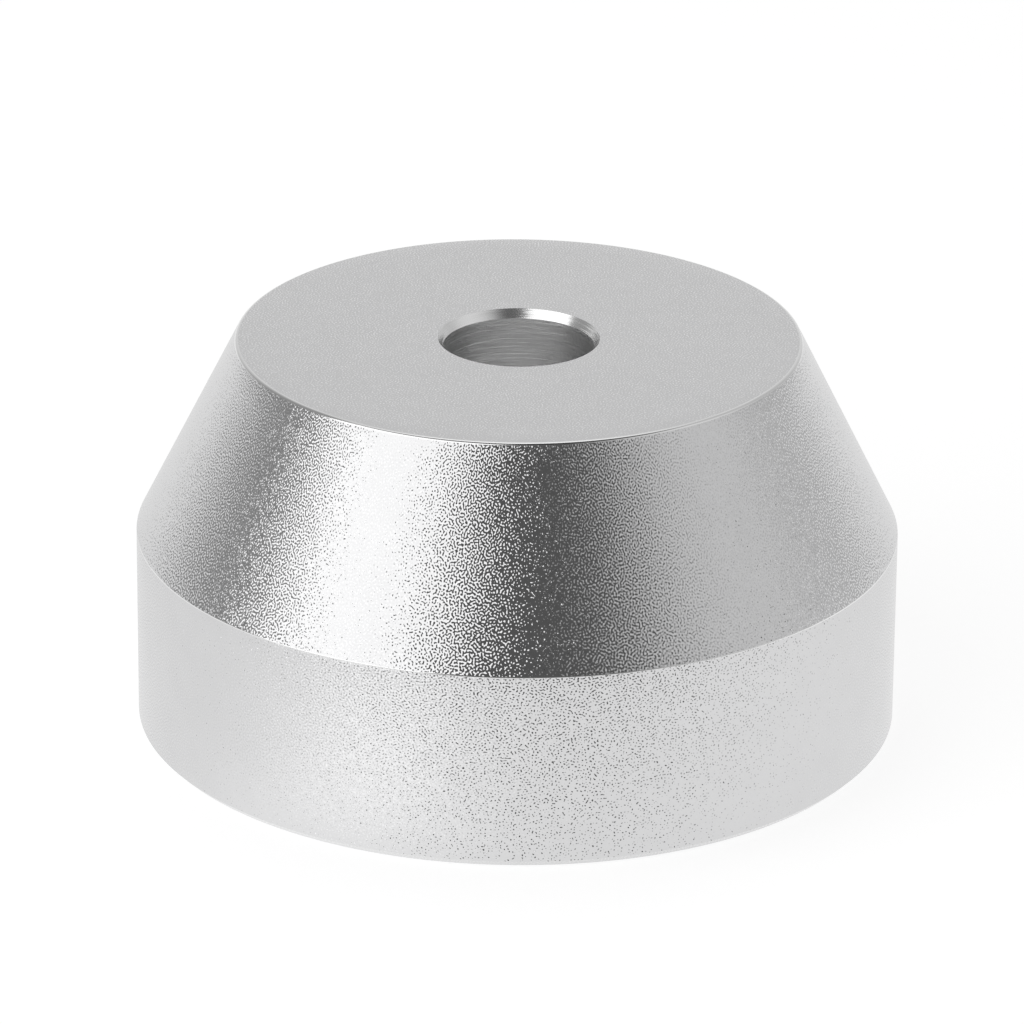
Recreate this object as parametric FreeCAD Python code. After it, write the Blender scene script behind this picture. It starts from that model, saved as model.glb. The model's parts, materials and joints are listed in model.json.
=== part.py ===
import FreeCAD
import Part

import math
import os

# Record spindle adapter: one piece turned from solid aluminium bar. A plain band fills the wide hole of
# a single, a taper above it leads the record down onto the band, and a through bore drops over the
# turntable's spindle.
#
# Frame: millimetres, +Z up the spindle's axis, origin at the centre of the flat underside.

# Outside form
BAND_DIAMETER = 38.0
BAND_HEIGHT = 10.0
TAPER_HEIGHT = 10.0
TOP_DIAMETER = 28.0

# Bore for the spindle, countersunk alike at both mouths
BORE_DIAMETER = 7.5
COUNTERSINK_DEPTH = 0.45
COUNTERSINK_HALF_ANGLE = 30.0

# Edges broken on the lathe: the rim of the top, the shoulder under the taper and the foot of the band
RIM_RADIUS = 0.2
SHOULDER_RADIUS = 0.15
FOOT_CHAMFER = 0.35

OVERALL_HEIGHT = BAND_HEIGHT + TAPER_HEIGHT
ORIGIN = FreeCAD.Vector(0, 0, 0)
SPINDLE_AXIS = FreeCAD.Vector(0, 0, 1)
FULL_TURN = 360


def section_point(radius, height):
    """A point of the half section, which lies in the XZ plane."""
    return FreeCAD.Vector(radius, 0, height)


def rounded_corner(before, corner, after, radius):
    """The arc of that radius that rounds a corner of the section, tangent to its two sides."""
    back = (before - corner).normalize()
    onward = (after - corner).normalize()
    inward = (back + onward).normalize()
    half_angle = back.getAngle(onward) / 2
    reach = radius / math.tan(half_angle)
    centre = corner + inward * (radius / math.sin(half_angle))
    return Part.Arc(corner + back * reach, centre - inward * radius, corner + onward * reach)


def half_section():
    """The closed outline that turns about the axis, from the underside out, up and back down the bore."""
    band_radius = BAND_DIAMETER / 2
    top_radius = TOP_DIAMETER / 2
    bore_radius = BORE_DIAMETER / 2
    mouth_radius = bore_radius + COUNTERSINK_DEPTH * math.tan(math.radians(COUNTERSINK_HALF_ANGLE))

    lower_mouth = section_point(mouth_radius, 0)
    foot_inner = section_point(band_radius - FOOT_CHAMFER, 0)
    foot_outer = section_point(band_radius, FOOT_CHAMFER)
    shoulder_corner = section_point(band_radius, BAND_HEIGHT)
    rim_corner = section_point(top_radius, OVERALL_HEIGHT)
    upper_mouth = section_point(mouth_radius, OVERALL_HEIGHT)
    bore_top = section_point(bore_radius, OVERALL_HEIGHT - COUNTERSINK_DEPTH)
    bore_bottom = section_point(bore_radius, COUNTERSINK_DEPTH)

    shoulder = rounded_corner(foot_outer, shoulder_corner, rim_corner, SHOULDER_RADIUS)
    rim = rounded_corner(shoulder_corner, rim_corner, upper_mouth, RIM_RADIUS)
    outline = [
        Part.LineSegment(lower_mouth, foot_inner),
        Part.LineSegment(foot_inner, foot_outer),
        Part.LineSegment(foot_outer, shoulder.StartPoint),
        shoulder,
        Part.LineSegment(shoulder.EndPoint, rim.StartPoint),
        rim,
        Part.LineSegment(rim.EndPoint, upper_mouth),
        Part.LineSegment(upper_mouth, bore_top),
        Part.LineSegment(bore_top, bore_bottom),
        Part.LineSegment(bore_bottom, lower_mouth),
    ]
    return Part.Face(Part.Wire([curve.toShape() for curve in outline]))


def spindle_adapter():
    """The whole piece, as one turned solid."""
    return half_section().revolve(ORIGIN, SPINDLE_AXIS, FULL_TURN)


os.makedirs("parts", exist_ok=True)
spindle_adapter().exportStep("parts/spindle_adapter.step")
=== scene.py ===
import json
import math

import bmesh
import bpy
from mathutils import Matrix, Vector


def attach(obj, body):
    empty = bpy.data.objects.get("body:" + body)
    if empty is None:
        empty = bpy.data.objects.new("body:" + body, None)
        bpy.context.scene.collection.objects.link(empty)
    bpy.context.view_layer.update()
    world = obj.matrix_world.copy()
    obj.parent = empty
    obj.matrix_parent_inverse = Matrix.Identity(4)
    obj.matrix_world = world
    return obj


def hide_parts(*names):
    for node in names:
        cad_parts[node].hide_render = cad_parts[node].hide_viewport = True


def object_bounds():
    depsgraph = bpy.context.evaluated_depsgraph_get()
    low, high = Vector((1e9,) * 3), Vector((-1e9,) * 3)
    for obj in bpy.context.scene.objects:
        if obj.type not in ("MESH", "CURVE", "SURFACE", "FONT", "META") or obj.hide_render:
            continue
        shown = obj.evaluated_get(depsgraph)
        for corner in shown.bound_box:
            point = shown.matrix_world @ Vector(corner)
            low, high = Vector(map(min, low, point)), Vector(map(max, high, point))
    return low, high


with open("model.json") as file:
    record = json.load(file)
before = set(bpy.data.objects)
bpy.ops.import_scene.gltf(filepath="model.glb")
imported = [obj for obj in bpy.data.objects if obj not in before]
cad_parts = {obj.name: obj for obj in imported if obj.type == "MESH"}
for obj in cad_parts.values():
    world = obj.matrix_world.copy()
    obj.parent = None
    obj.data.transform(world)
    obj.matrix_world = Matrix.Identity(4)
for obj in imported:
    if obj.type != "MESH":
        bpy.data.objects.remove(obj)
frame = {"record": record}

bl_info = {
    "name": "Record Spindle Adapter",
    "version": (1, 0, 0),
    "blender": (4, 5, 0),
    "location": "View3D > Sidebar > Adapter",
    "description": "Turns a blasted aluminium spindle adapter and sets it on a white studio table",
    "category": "Add Mesh",
}

# The frame that the piece is built on
NODE = "spindle_adapter"
BODY = "root"
CAD_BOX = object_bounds()
CAD_SIZE = CAD_BOX[1] - CAD_BOX[0]
MM = 0.001

# The lathe mesh
TURN_STEPS = 288
CORNER_STEPS = 6
RING_SPACING = 1.2 * MM
SHARP_ANGLE = math.radians(25)
MERGE_DISTANCE = 0.001 * MM

# Slots of the piece, in the order that its materials are given to it
BLASTED, BURNISHED, TURNED, BORED = range(4)

# How far a face's normal turns to the axis: on a bevel of the bore, on the taper, and on a level face
BEVEL_FACING = 0.25
TAPER_FACING = 0.4
LEVEL_FACING = 0.8

# The blasted grain: where it lies, how its noises are spread, and the clouds that tone it
UNROLLED_RADIUS = 17.5 * MM
GRAIN_SHIFTS = (0.0, 0.3, 0.7)
GRAIN_WAVES = 1.5
GRAIN_SPREAD = 0.26
BAND_LEAN = 1.4
MOTTLE_SIZE = 1.5 * MM
MOTTLE_DETAIL = 3.0
MOTTLE_TONE = 0.03
MOTTLE_ROUGHNESS = 0.3

# The rings of a cutting tool: how many times longer than wide they are, and what they do to the metal
RING_LENGTH = 50
RING_DETAIL = 2.0
RING_TONE = 0.06
RING_ROUGHNESS = 0.05

# Metals that a tool left bright, in the order of their slots: depth of the rings and roughness
BRIGHT_METALS = (
    ("burnished_edge", 0.001 * MM, 0.12),
    ("turned_bevel", 0.02 * MM, 0.22),
    ("bored_wall", 0.026 * MM, 0.33),
)

# The table, and the tone of its paper to bounced light, to the camera and in the metal
TABLE_RADIUS = 4.0
TABLE_SIDES = 96
PAPER_TONE = 0.9
SEEN_TONE = 0.45
MIRRORED_TONE = 0.1

# The table in the metal: a painted pool of light, a glow where the band would throw the key light on it
PAINTED_POOL_CENTRE = (-15 * MM, -26 * MM, 0.0)
PAINTED_POOL_RADIUS = 22 * MM

# The table in the metal: painted shade, how far its foreground is lit, and the share of light left beyond
FOREGROUND_WAY = (math.cos(math.radians(-75)), math.sin(math.radians(-75)), 0.0)
FOREGROUND_LIT = 60 * MM
FOREGROUND_DARK = 110 * MM
FOREGROUND_SHARE = 0.1

# The table in the metal: the near part, from behind the piece to before it, with painted shade behind it and
# painted light before it
MIRROR_HEIGHT = 15 * MM
NEAR_SLOPE = 0.25
NEAR_REACH = 28 * MM
NEAR_SHARES = (0.91, 1.03)

# Brightness round the tent by degrees of azimuth, where the camera is at -90 and the back wall at 90
TENT_FOOT = (
    (-180, 0.31),
    (-160, 0.62),
    (-122, 0.60),
    (-104, 0.105),
    (-85, 0.105),
    (-66, 0.095),
    (-50, 0.35),
    (-34, 0.56),
    (0, 0.60),
    (20, 0.50),
    (50, 0.55),
    (90, 0.82),
    (120, 0.80),
    (146, 0.60),
    (162, 0.43),
    (180, 0.31),
)
TENT_WALL = (
    (-180, 0.26),
    (-104, 0.105),
    (-85, 0.105),
    (-66, 0.095),
    (-50, 0.36),
    (-34, 0.58),
    (-10, 0.68),
    (7, 0.63),
    (26, 0.48),
    (45, 0.47),
    (70, 0.64),
    (90, 0.67),
    (110, 0.62),
    (130, 0.42),
    (150, 0.27),
    (180, 0.26),
)
TENT_CEILING = (
    (-180, 0.03),
    (0, 0.03),
    (40, 0.50),
    (60, 1.00),
    (120, 1.00),
    (140, 0.50),
    (180, 0.03),
)

# Elevations in degrees over which the tent's foot turns into its wall, and its wall into its ceiling
FOOT_TO_WALL = (0, 16)
WALL_TO_CEILING = (50, 62)

# The soft box at the left
KEY_AZIMUTH = math.radians(218.6)
KEY_ELEVATION = math.radians(36)
KEY_DISTANCE = 0.6
KEY_WIDTH = 0.66
KEY_HEIGHT = 0.74

# The photograph's frame
IMAGE_SIDE_PX = 1024
SENSOR_WIDTH_MM = 36.0
NEAREST_SEEN = 0.01
FARTHEST_SEEN = 20.0


def mount_size(mount, dimension):
    """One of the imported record's mount dimensions, in metres."""
    found = next(m for m in frame["record"]["mounts"] if m["name"] == mount)
    return found["dims"][dimension] * MM


def size_property(name, description, default):
    """A length that a user may change, shown in the scene's own units."""
    return bpy.props.FloatProperty(
        name=name,
        description=description,
        default=default,
        min=0.0,
        precision=5,
        subtype="DISTANCE",
        unit="LENGTH",
    )


def level_property(name, description, default):
    """A light level, where 1 is white."""
    return bpy.props.FloatProperty(
        name=name, description=description, default=default, min=0.0, soft_max=4.0
    )


def angle_property(name, description, degrees):
    """An angle that a user may change, given here in degrees."""
    return bpy.props.FloatProperty(
        name=name, description=description, default=math.radians(degrees), subtype="ANGLE", unit="ROTATION"
    )


def colour_property(name, description, default):
    """A colour that a user may change."""
    return bpy.props.FloatVectorProperty(
        name=name, description=description, default=default, min=0.0, max=1.0, subtype="COLOR"
    )


class AdapterSizes(bpy.types.PropertyGroup):
    """Sizes of the turned body"""

    band_diameter: size_property(
        "Band diameter", "Width of the plain band that fills the record's hole", CAD_SIZE.x
    )
    overall_height: size_property("Overall height", "From the underside to the flat top", CAD_SIZE.z)
    taper_height: size_property("Taper height", "Height of the taper above the band", 10.0 * MM)
    top_diameter: size_property("Top diameter", "Width of the flat top", 28.0 * MM)
    bore_diameter: size_property(
        "Bore diameter",
        "Width of the bore that drops over the spindle",
        2 * mount_size("spindle_bore", "r_mm"),
    )
    countersink_depth: size_property(
        "Countersink depth",
        "Depth of the bevel at each mouth of the bore",
        (CAD_SIZE.z - mount_size("spindle_bore", "length_mm")) / 2,
    )
    countersink_angle: angle_property("Countersink angle", "Lean of that bevel from the axis", 30)
    rim_radius: size_property("Rim radius", "Rounding between the taper and the top", 0.2 * MM)
    shoulder_radius: size_property("Shoulder radius", "Rounding between the band and the taper", 0.15 * MM)
    foot_chamfer: size_property("Foot chamfer", "Bevel round the foot of the band", 0.35 * MM)


class AdapterFinish(bpy.types.PropertyGroup):
    """Colour and texture of the metal"""

    metal_colour: colour_property(
        "Metal colour", "Colour of the clear anodised aluminium", (0.76, 0.76, 0.765)
    )
    cut_colour: colour_property(
        "Cut colour",
        "Colour of the metal that the tools left bright, in the bore and its bevels",
        (0.94, 0.94, 0.94),
    )
    grain_size: size_property("Grain size", "Spacing of the dimples that the beads left", 0.15 * MM)
    grain_lean: bpy.props.FloatProperty(
        name="Grain lean",
        description="Steepest slope of the dimples' sides",
        default=0.19,
        min=0.0,
        soft_max=1.0,
    )
    grain_roughness: bpy.props.FloatProperty(
        name="Grain roughness",
        description="Softness of the shine within one dimple",
        default=0.03,
        min=0.0,
        max=1.0,
        subtype="FACTOR",
    )
    tool_feed: size_property("Tool feed", "Spacing of the rings that the boring tool left", 0.08 * MM)


class AdapterStudio(bpy.types.PropertyGroup):
    """The table, the lights and the camera"""

    table_level: level_property("Table", "Glow of the white table, as the camera sees it", 0.77)
    mirrored_level: level_property("Mirrored table", "Brightness of the table in the metal on it", 0.81)
    horizon_level: level_property(
        "Mirrored horizon", "Brightness of the table's far edge in the metal", 0.81
    )
    # A painted pool of light: glow added to the table in the metal where the band would throw the key light
    painted_pool_level: level_property(
        "Thrown light", "Extra light that the band throws on the table before it", 0.43
    )
    tent_level: level_property("Tent", "Brightness of the whole tent", 1.0)
    key_level: level_property("Key light", "Brightness of the soft box at the left", 1.05)
    camera_elevation: angle_property("Camera elevation", "Height of the camera above the horizon", 22.551)
    camera_roll: angle_property("Camera roll", "Turn of the camera about its own line of sight", 0.488)
    camera_distance: size_property("Camera distance", "From the point aimed at to the camera", 354.258 * MM)
    camera_aim: bpy.props.FloatVectorProperty(
        name="Camera aim",
        description="The point in the middle of the picture",
        default=(-0.266 * MM, 0.0, 10.64 * MM),
        subtype="TRANSLATION",
        unit="LENGTH",
    )
    focal_length_px: bpy.props.FloatProperty(
        name="Focal length", description="Focal length in pixels of the picture", default=7094.9, min=1.0
    )


def placed(scene, name, data):
    """A new object in the scene, at the origin."""
    thing = bpy.data.objects.new(name, data)
    scene.collection.objects.link(thing)
    return thing


def finished_mesh(bm, name):
    """A mesh of what was modelled, whose workings are let go."""
    mesh = bpy.data.meshes.new(name)
    bm.to_mesh(mesh)
    bm.free()
    return mesh


def section_corners(sizes):
    """Corners of the half section, as radius and height: out from the bore, up, in and back down it."""
    band = sizes.band_diameter / 2
    top = sizes.top_diameter / 2
    bore = sizes.bore_diameter / 2
    mouth = bore + sizes.countersink_depth * math.tan(sizes.countersink_angle)
    height = sizes.overall_height
    return {
        "lower_mouth": (mouth, 0.0),
        "foot_inner": (band - sizes.foot_chamfer, 0.0),
        "foot_outer": (band, sizes.foot_chamfer),
        "shoulder": (band, height - sizes.taper_height),
        "rim": (top, height),
        "upper_mouth": (mouth, height),
        "bore_top": (bore, height - sizes.countersink_depth),
        "bore_bottom": (bore, sizes.countersink_depth),
    }


def round_corner(bm, vert, radius):
    """Rounds a corner of the section with an arc that meets both of its sides smoothly."""
    before, after = (edge.other_vert(vert).co - vert.co for edge in vert.link_edges)
    reach = radius / math.tan(before.angle(after) / 2)
    bmesh.ops.bevel(
        bm,
        geom=[vert],
        offset=reach,
        offset_type="OFFSET",
        affect="VERTICES",
        segments=CORNER_STEPS,
        profile=0.5,
        material=-1,
    )


def draw_half_section(bm, sizes):
    """Draws the closed half section: its corners, its two roundings and points spaced between them."""
    corners = section_corners(sizes)
    verts = {name: bm.verts.new((radius, 0.0, height)) for name, (radius, height) in corners.items()}
    ring = list(verts.values())
    for start, end in zip(ring, ring[1:] + ring[:1]):
        bm.edges.new((start, end))
    round_corner(bm, verts["shoulder"], sizes.shoulder_radius)
    round_corner(bm, verts["rim"], sizes.rim_radius)
    for edge in list(bm.edges):
        cuts = int(edge.calc_length() / RING_SPACING)
        if cuts:
            bmesh.ops.subdivide_edges(bm, edges=[edge], cuts=cuts)


def finish_of(face, mouth_radius, rounding):
    """The slot of a face: bored or turned inside the mouth, burnished on a rounded edge, or else blasted."""
    if face.calc_center_median().xy.length < mouth_radius:
        return BORED if abs(face.normal.z) < BEVEL_FACING else TURNED
    heights = [vert.co.z for vert in face.verts]
    rise = max(heights) - min(heights)
    return BURNISHED if 0 < rise < rounding / 2 else BLASTED


def mark_finishes(bm, sizes):
    """Gives each face its slot, smooths it and keeps the sharp edges sharp."""
    mouth_radius = section_corners(sizes)["upper_mouth"][0]
    rounding = max(sizes.rim_radius, sizes.shoulder_radius)
    for face in bm.faces:
        face.smooth = True
        face.material_index = finish_of(face, mouth_radius, rounding)
    for edge in bm.edges:
        edge.smooth = edge.calc_face_angle() < SHARP_ANGLE


def turned_mesh(sizes):
    """The body's mesh: its half section, spun once round the axis."""
    bm = bmesh.new()
    draw_half_section(bm, sizes)
    bmesh.ops.spin(
        bm,
        geom=bm.verts[:] + bm.edges[:],
        cent=(0.0, 0.0, 0.0),
        axis=(0.0, 0.0, 1.0),
        angle=2 * math.pi,
        steps=TURN_STEPS,
        use_merge=True,
    )
    bmesh.ops.remove_doubles(bm, verts=bm.verts[:], dist=MERGE_DISTANCE)
    bmesh.ops.recalc_face_normals(bm, faces=bm.faces[:])
    mark_finishes(bm, sizes)
    return finished_mesh(bm, NODE)


def emptied_tree(owner):
    """The node tree of a material or a world, with nothing in it yet."""
    owner.use_nodes = True
    owner.node_tree.nodes.clear()
    return owner.node_tree


def add_node(tree, kind, inputs=None, **settings):
    """A new node, with its settings and with its inputs linked to sockets or set to plain values."""
    node = tree.nodes.new(kind)
    for name, value in settings.items():
        setattr(node, name, value)
    for key, value in (inputs or {}).items():
        if isinstance(value, bpy.types.NodeSocket):
            tree.links.new(value, node.inputs[key])
        else:
            node.inputs[key].default_value = value
    return node


def number(tree, operation, *values):
    """The result of a Math node on sockets or plain numbers."""
    return add_node(tree, "ShaderNodeMath", dict(enumerate(values)), operation=operation).outputs[0]


def vector(tree, operation, *values):
    """The vector that a Vector Math node makes from sockets or plain vectors."""
    node = add_node(tree, "ShaderNodeVectorMath", dict(enumerate(values)), operation=operation)
    return node.outputs["Vector"]


def measured(tree, operation, *values):
    """The number that a Vector Math node measures on sockets or plain vectors."""
    node = add_node(tree, "ShaderNodeVectorMath", dict(enumerate(values)), operation=operation)
    return node.outputs["Value"]


def part_of(tree, place, axis):
    """One part of a vector: X, Y or Z."""
    return add_node(tree, "ShaderNodeSeparateXYZ", {"Vector": place}).outputs[axis]


def graded(tree, value, start, end, low, high, **settings):
    """A value's way from a start to an end, spread between two levels."""
    inputs = {"Value": value, "From Min": start, "From Max": end, "To Min": low, "To Max": high}
    return add_node(tree, "ShaderNodeMapRange", inputs, **settings).outputs["Result"]


def blended(tree, factor, first, second):
    """A colour between two colours."""
    inputs = {"Factor": factor, "A": first, "B": second}
    return add_node(tree, "ShaderNodeMix", inputs, data_type="RGBA").outputs["Result"]


def toned(colour, share):
    """A colour made lighter or darker, as a socket takes it."""
    return [channel * share for channel in colour] + [1.0]


def varied(tree, pattern, colour, change):
    """A colour that a pattern makes darker and lighter by a share."""
    return blended(tree, pattern, toned(colour, 1 - change), toned(colour, 1 + change))


def grey(level):
    """A grey, as a socket takes it."""
    return (level, level, level, 1.0)


def metal(name, surface):
    """A metal material whose shader takes the inputs that a function makes in its node tree."""
    material = bpy.data.materials.new(name)
    tree = emptied_tree(material)
    shader = add_node(tree, "ShaderNodeBsdfPrincipled", {"Metallic": 1.0, **surface(tree)})
    add_node(tree, "ShaderNodeOutputMaterial", {"Surface": shader.outputs["BSDF"]})
    return material


def bearing_of(tree, place):
    """The angle of a place round the axis, from the front."""
    forward = number(tree, "MULTIPLY", part_of(tree, place, "Y"), -1.0)
    return number(tree, "ARCTAN2", part_of(tree, place, "X"), forward)


def laid_flat(tree, place, bearing, facing):
    """Flat coordinates on the piece: round and up its sides, and straight across its top and underside."""
    around = number(tree, "MULTIPLY", bearing, UNROLLED_RADIUS)
    sides = add_node(tree, "ShaderNodeCombineXYZ", {"X": around, "Y": part_of(tree, place, "Z")})
    level = number(tree, "GREATER_THAN", facing, LEVEL_FACING)
    inputs = {"Factor": level, "A": sides.outputs["Vector"], "B": place}
    return add_node(tree, "ShaderNodeMix", inputs, data_type="VECTOR").outputs["Result"]


def dimples(tree, flat, spacing):
    """A close field of dimples: three noises of one wavelength, as the parts of a vector round one half."""
    parts = {}
    for axis, shift in zip("XYZ", GRAIN_SHIFTS):
        waves = {
            "Vector": vector(tree, "ADD", flat, (shift, shift, 0.0)),
            "Scale": 1 / (GRAIN_WAVES * spacing),
            "Frequency": GRAIN_WAVES,
            "Anisotropy": 0.0,
        }
        parts[axis] = add_node(tree, "ShaderNodeTexGabor", waves, gabor_type="2D").outputs["Value"]
    return add_node(tree, "ShaderNodeCombineXYZ", parts).outputs["Vector"]


def limited(tree, field, steepest):
    """A field of dimples as a slope each way, which levels off softly at the steepest."""
    inputs = {
        "Vector": field,
        "From Min": (0.5 - GRAIN_SPREAD,) * 3,
        "From Max": (0.5 + GRAIN_SPREAD,) * 3,
        "To Min": (-steepest,) * 3,
        "To Max": (steepest,) * 3,
    }
    settings = {"data_type": "FLOAT_VECTOR", "interpolation_type": "SMOOTHSTEP"}
    return add_node(tree, "ShaderNodeMapRange", inputs, **settings).outputs["Vector"]


def leaning(tree, slope, bearing, facing):
    """The lean that a slope gives the surface: turned to face outwards, and steeper on the upright band."""
    share = graded(tree, facing, 0.0, TAPER_FACING, BAND_LEAN, 1.0)
    scaled = add_node(tree, "ShaderNodeVectorMath", {0: slope, "Scale": share}, operation="SCALE")
    inputs = {"Vector": scaled.outputs["Vector"], "Angle": bearing}
    return add_node(tree, "ShaderNodeVectorRotate", inputs, rotation_type="Z_AXIS").outputs["Vector"]


def blasted_aluminium(finish):
    """Satin aluminium under a close field of small dimples, whose sides lean every way."""

    def surface(tree):
        place = add_node(tree, "ShaderNodeTexCoord").outputs["Object"]
        normal = add_node(tree, "ShaderNodeNewGeometry").outputs["Normal"]
        facing = number(tree, "ABSOLUTE", part_of(tree, normal, "Z"))
        bearing = bearing_of(tree, place)
        field = dimples(tree, laid_flat(tree, place, bearing, facing), finish.grain_size)
        lean = leaning(tree, limited(tree, field, finish.grain_lean), bearing, facing)
        clouds = {"Vector": place, "Scale": 1 / MOTTLE_SIZE, "Detail": MOTTLE_DETAIL}
        mottle = add_node(tree, "ShaderNodeTexNoise", clouds).outputs["Fac"]
        rough = finish.grain_roughness
        change = rough * MOTTLE_ROUGHNESS
        return {
            "Base Color": varied(tree, mottle, finish.metal_colour, MOTTLE_TONE),
            "Roughness": graded(tree, mottle, 0.0, 1.0, rough - change, rough + change),
            "Normal": vector(tree, "NORMALIZE", vector(tree, "ADD", normal, lean)),
        }

    return metal("bead_blasted_aluminium", surface)


def ringed_metal(name, finish, ring_depth, roughness):
    """Bare metal with the fine rings of a cutting tool, which run round the axis."""

    def surface(tree):
        place = add_node(tree, "ShaderNodeTexCoord").outputs["Object"]
        fine = 1 / finish.tool_feed
        long = fine / RING_LENGTH
        along = add_node(tree, "ShaderNodeMapping", {"Vector": place, "Scale": (long, long, fine)})
        grooves = {"Vector": along.outputs["Vector"], "Scale": 1.0, "Detail": RING_DETAIL}
        rings = add_node(tree, "ShaderNodeTexNoise", grooves).outputs["Fac"]
        bump = add_node(tree, "ShaderNodeBump", {"Distance": ring_depth, "Height": rings})
        shiny = roughness - RING_ROUGHNESS
        dull = roughness + RING_ROUGHNESS
        return {
            "Base Color": varied(tree, rings, finish.cut_colour, RING_TONE),
            "Roughness": graded(tree, rings, 0.0, 1.0, shiny, dull),
            "Normal": bump.outputs["Normal"],
        }

    return metal(name, surface)


class ADAPTER_OT_turn_body(bpy.types.Operator):
    """Turn the adapter's body from its half section and give it its finishes"""

    bl_idname = "adapter.turn_body"
    bl_label = "Turn Body"

    def execute(self, context):
        scene = context.scene
        finish = scene.adapter_finish
        body = placed(scene, "turned_adapter", turned_mesh(scene.adapter_sizes))
        body.data.materials.append(blasted_aluminium(finish))
        for name, ring_depth, roughness in BRIGHT_METALS:
            body.data.materials.append(ringed_metal(name, finish, ring_depth, roughness))
        weighted = body.modifiers.new("weighted_normals", "WEIGHTED_NORMAL")
        weighted.keep_sharp = True
        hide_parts(NODE)
        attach(body, BODY)
        return {"FINISHED"}


def soft_patch(tree, place, centre, radius):
    """A round patch, which fades from one at its centre to nought at its edge."""
    inputs = {"Vector": place, "Location": centre, "Scale": (radius,) * 3}
    patch = add_node(tree, "ShaderNodeMapping", inputs, vector_type="TEXTURE").outputs["Vector"]
    fading = add_node(tree, "ShaderNodeTexGradient", {"Vector": patch}, gradient_type="QUADRATIC_SPHERE")
    return fading.outputs["Fac"]


def painted_table_glow(tree, studio):
    """Brightness of the table in the metal, as a glow with painted light and shade: a painted pool where the
    band would throw light, and painted shade in the foreground.
    """
    place = add_node(tree, "ShaderNodeTexCoord").outputs["Object"]
    ahead = measured(tree, "DOT_PRODUCT", place, FOREGROUND_WAY)
    # painted light and shade: the near table glows darker behind the piece and brighter before it, and evens
    # out to the horizon level further out
    behind, before = (share * studio.mirrored_level for share in NEAR_SHARES)
    near = graded(tree, ahead, -NEAR_REACH, NEAR_REACH, behind, before)
    slope = number(tree, "DIVIDE", MIRROR_HEIGHT, measured(tree, "LENGTH", place))
    around = graded(tree, slope, 0.0, NEAR_SLOPE, studio.horizon_level, near)
    # painted pool of light: the table glows brighter in a round patch where the band would throw the key
    # light
    painted_pool = soft_patch(tree, place, PAINTED_POOL_CENTRE, PAINTED_POOL_RADIUS)
    pool = number(tree, "MULTIPLY_ADD", painted_pool, studio.painted_pool_level, around)
    # painted shade: the table's glow in the metal falls off in the far foreground
    lit = graded(tree, ahead, FOREGROUND_LIT, FOREGROUND_DARK, 1.0, FOREGROUND_SHARE)
    return number(tree, "MULTIPLY", pool, lit)


def white_paper(studio):
    """The table's paper: white to the camera, a little darker in the metal with painted light and shade
    there, and shaded by the adapter.
    """
    material = bpy.data.materials.new("white_paper")
    tree = emptied_tree(material)
    path = add_node(tree, "ShaderNodeLightPath").outputs
    seen = number(tree, "ADD", path["Is Camera Ray"], path["Is Transmission Ray"])
    mirrored = path["Is Glossy Ray"]
    mirrored_glow = number(tree, "MULTIPLY", mirrored, painted_table_glow(tree, studio))
    strength = number(tree, "MULTIPLY_ADD", seen, studio.table_level, mirrored_glow)
    glow = add_node(tree, "ShaderNodeEmission", {"Strength": strength}).outputs["Emission"]
    tone = blended(tree, seen, grey(PAPER_TONE), grey(SEEN_TONE))
    tone = blended(tree, mirrored, tone, grey(MIRRORED_TONE))
    paper = add_node(tree, "ShaderNodeBsdfDiffuse", {"Color": tone}).outputs["BSDF"]
    both = add_node(tree, "ShaderNodeAddShader", {0: glow, 1: paper}).outputs["Shader"]
    add_node(tree, "ShaderNodeOutputMaterial", {"Surface": both})
    return material


def studio_table(scene, studio):
    """A wide round table of white paper."""
    bm = bmesh.new()
    bmesh.ops.create_circle(bm, cap_ends=True, segments=TABLE_SIDES, radius=TABLE_RADIUS)
    table = placed(scene, "table", finished_mesh(bm, "table"))
    table.data.materials.append(white_paper(studio))


def round_tent(tree, turn, stops):
    """Brightness round the tent, as the colour of a ramp along its turn."""
    ramp = add_node(tree, "ShaderNodeValToRGB", {"Fac": turn})
    elements = ramp.color_ramp.elements
    while len(elements) < len(stops):
        elements.new(0.5)
    for element, (degrees, level) in zip(elements, stops):
        element.position = (degrees + 180) / 360
        element.color = grey(level)
    return ramp.outputs["Color"]


def rising(tree, height, elevations):
    """A soft step from nought to one between two elevations in degrees, on the sine of the elevation."""
    low, high = (math.sin(math.radians(elevation)) for elevation in elevations)
    return graded(tree, height, low, high, 0.0, 1.0, interpolation_type="SMOOTHSTEP")


def tent_world(scene, studio):
    """A tent of pale walls, open and dark on the camera's side."""
    scene.world = bpy.data.worlds.new("light_tent")
    tree = emptied_tree(scene.world)
    way = add_node(tree, "ShaderNodeTexCoord").outputs["Generated"]
    split = add_node(tree, "ShaderNodeSeparateXYZ", {"Vector": way}).outputs
    bearing = number(tree, "ARCTAN2", split["Y"], split["X"])
    turn = number(tree, "MULTIPLY_ADD", bearing, 1 / (2 * math.pi), 0.5)
    foot, wall, ceiling = (round_tent(tree, turn, stops) for stops in (TENT_FOOT, TENT_WALL, TENT_CEILING))
    walls = blended(tree, rising(tree, split["Z"], FOOT_TO_WALL), foot, wall)
    tent = blended(tree, rising(tree, split["Z"], WALL_TO_CEILING), walls, ceiling)
    background = add_node(tree, "ShaderNodeBackground", {"Color": tent, "Strength": studio.tent_level})
    add_node(tree, "ShaderNodeOutputWorld", {"Surface": background.outputs["Background"]})


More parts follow.
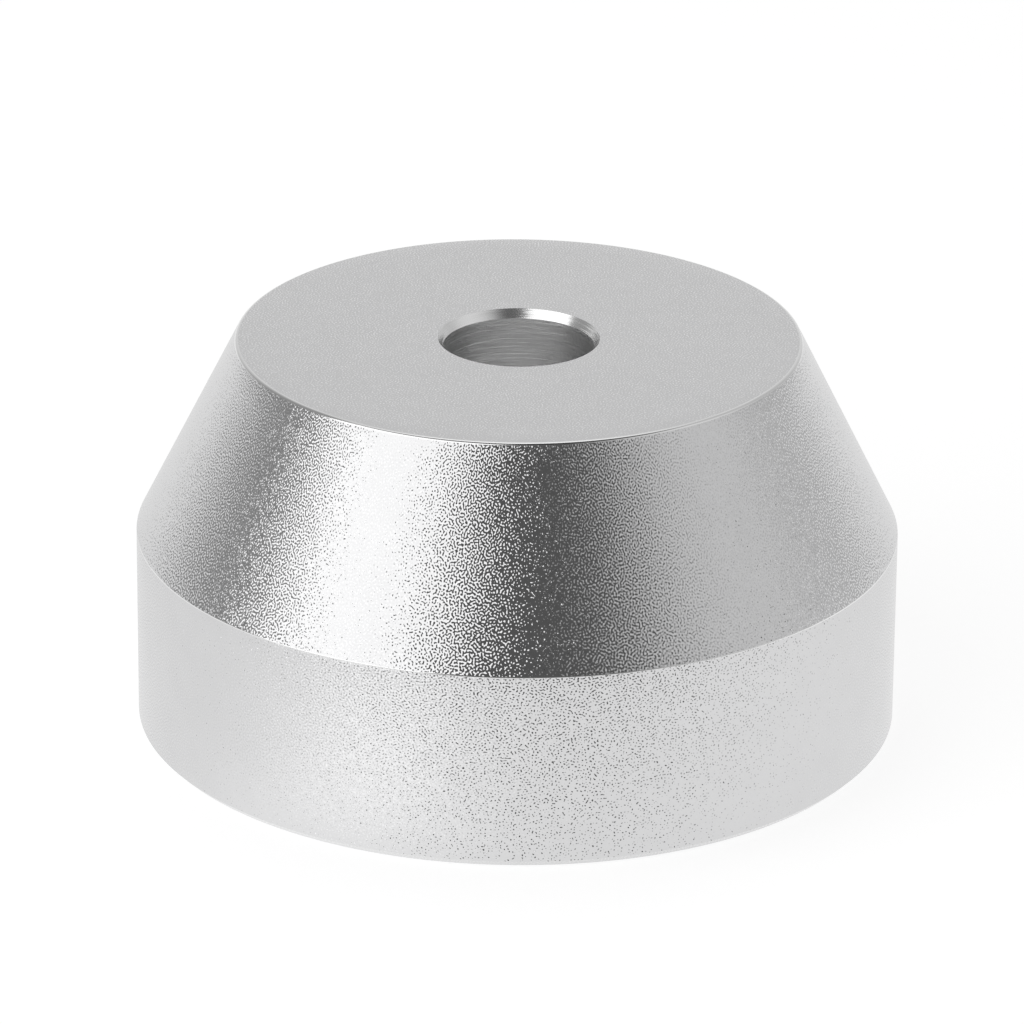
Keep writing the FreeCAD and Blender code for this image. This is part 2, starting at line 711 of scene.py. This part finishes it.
def key_soft_box(scene, studio):
    """The rectangular soft box, which faces the adapter and is as bright as its level says."""
    light = bpy.data.lights.new("key_soft_box", "AREA")
    light.shape = "RECTANGLE"
    light.size = KEY_WIDTH
    light.size_y = KEY_HEIGHT
    light.energy = studio.key_level * math.pi * KEY_WIDTH * KEY_HEIGHT
    lamp = placed(scene, "key_soft_box", light)
    raised = Vector((math.cos(KEY_ELEVATION), 0.0, math.sin(KEY_ELEVATION)))
    way = Matrix.Rotation(KEY_AZIMUTH, 3, "Z") @ raised
    lamp.location = way * KEY_DISTANCE
    lamp.rotation_euler = way.to_track_quat("Z", "Y").to_euler()
    lamp.visible_camera = False


def photo_camera(scene, studio):
    """The camera, placed, aimed and rolled as the photograph was taken."""
    data = bpy.data.cameras.new("camera")
    data.sensor_width = SENSOR_WIDTH_MM
    data.lens = studio.focal_length_px / IMAGE_SIDE_PX * SENSOR_WIDTH_MM
    data.clip_start = NEAREST_SEEN
    data.clip_end = FARTHEST_SEEN
    camera = placed(scene, "camera", data)
    tilt = Matrix.Rotation(math.pi / 2 - studio.camera_elevation, 4, "X")
    roll = Matrix.Rotation(studio.camera_roll, 4, "Z")
    back = Matrix.Translation((0.0, 0.0, studio.camera_distance))
    camera.matrix_world = Matrix.Translation(studio.camera_aim) @ tilt @ roll @ back
    scene.camera = camera


class ADAPTER_OT_set_stage(bpy.types.Operator):
    """Set the adapter on a white table in a light tent, with the camera before it"""

    bl_idname = "adapter.set_stage"
    bl_label = "Set Stage"

    def execute(self, context):
        scene = context.scene
        studio = scene.adapter_studio
        studio_table(scene, studio)
        tent_world(scene, studio)
        key_soft_box(scene, studio)
        photo_camera(scene, studio)
        scene.view_settings.view_transform = "Standard"
        return {"FINISHED"}


class ADAPTER_PT_sidebar(bpy.types.Panel):
    """Sizes, finish and studio of the record spindle adapter"""

    bl_label = "Record Spindle Adapter"
    bl_space_type = "VIEW_3D"
    bl_region_type = "UI"
    bl_category = "Adapter"

    def draw(self, context):
        scene = context.scene
        self.draw_group(scene.adapter_sizes)
        self.draw_group(scene.adapter_finish)
        self.layout.operator(ADAPTER_OT_turn_body.bl_idname)
        self.draw_group(scene.adapter_studio)
        self.layout.operator(ADAPTER_OT_set_stage.bl_idname)

    def draw_group(self, group):
        """Lists a group's properties in a column."""
        column = self.layout.column()
        for name in group.__annotations__:
            column.prop(group, name)


CLASSES = (
    AdapterSizes,
    AdapterFinish,
    AdapterStudio,
    ADAPTER_OT_turn_body,
    ADAPTER_OT_set_stage,
    ADAPTER_PT_sidebar,
)


def register():
    """Makes the classes and the scene's settings known to Blender."""
    for cls in CLASSES:
        bpy.utils.register_class(cls)
    bpy.types.Scene.adapter_sizes = bpy.props.PointerProperty(type=AdapterSizes)
    bpy.types.Scene.adapter_finish = bpy.props.PointerProperty(type=AdapterFinish)
    bpy.types.Scene.adapter_studio = bpy.props.PointerProperty(type=AdapterStudio)


def unregister():
    """Takes the settings and the classes away again."""
    del bpy.types.Scene.adapter_studio
    del bpy.types.Scene.adapter_finish
    del bpy.types.Scene.adapter_sizes
    for cls in reversed(CLASSES):
        bpy.utils.unregister_class(cls)


def main():
    """Builds the adapter and its stage."""
    register()
    bpy.ops.adapter.turn_body()
    bpy.ops.adapter.set_stage()


if __name__ == "__main__":
    main()
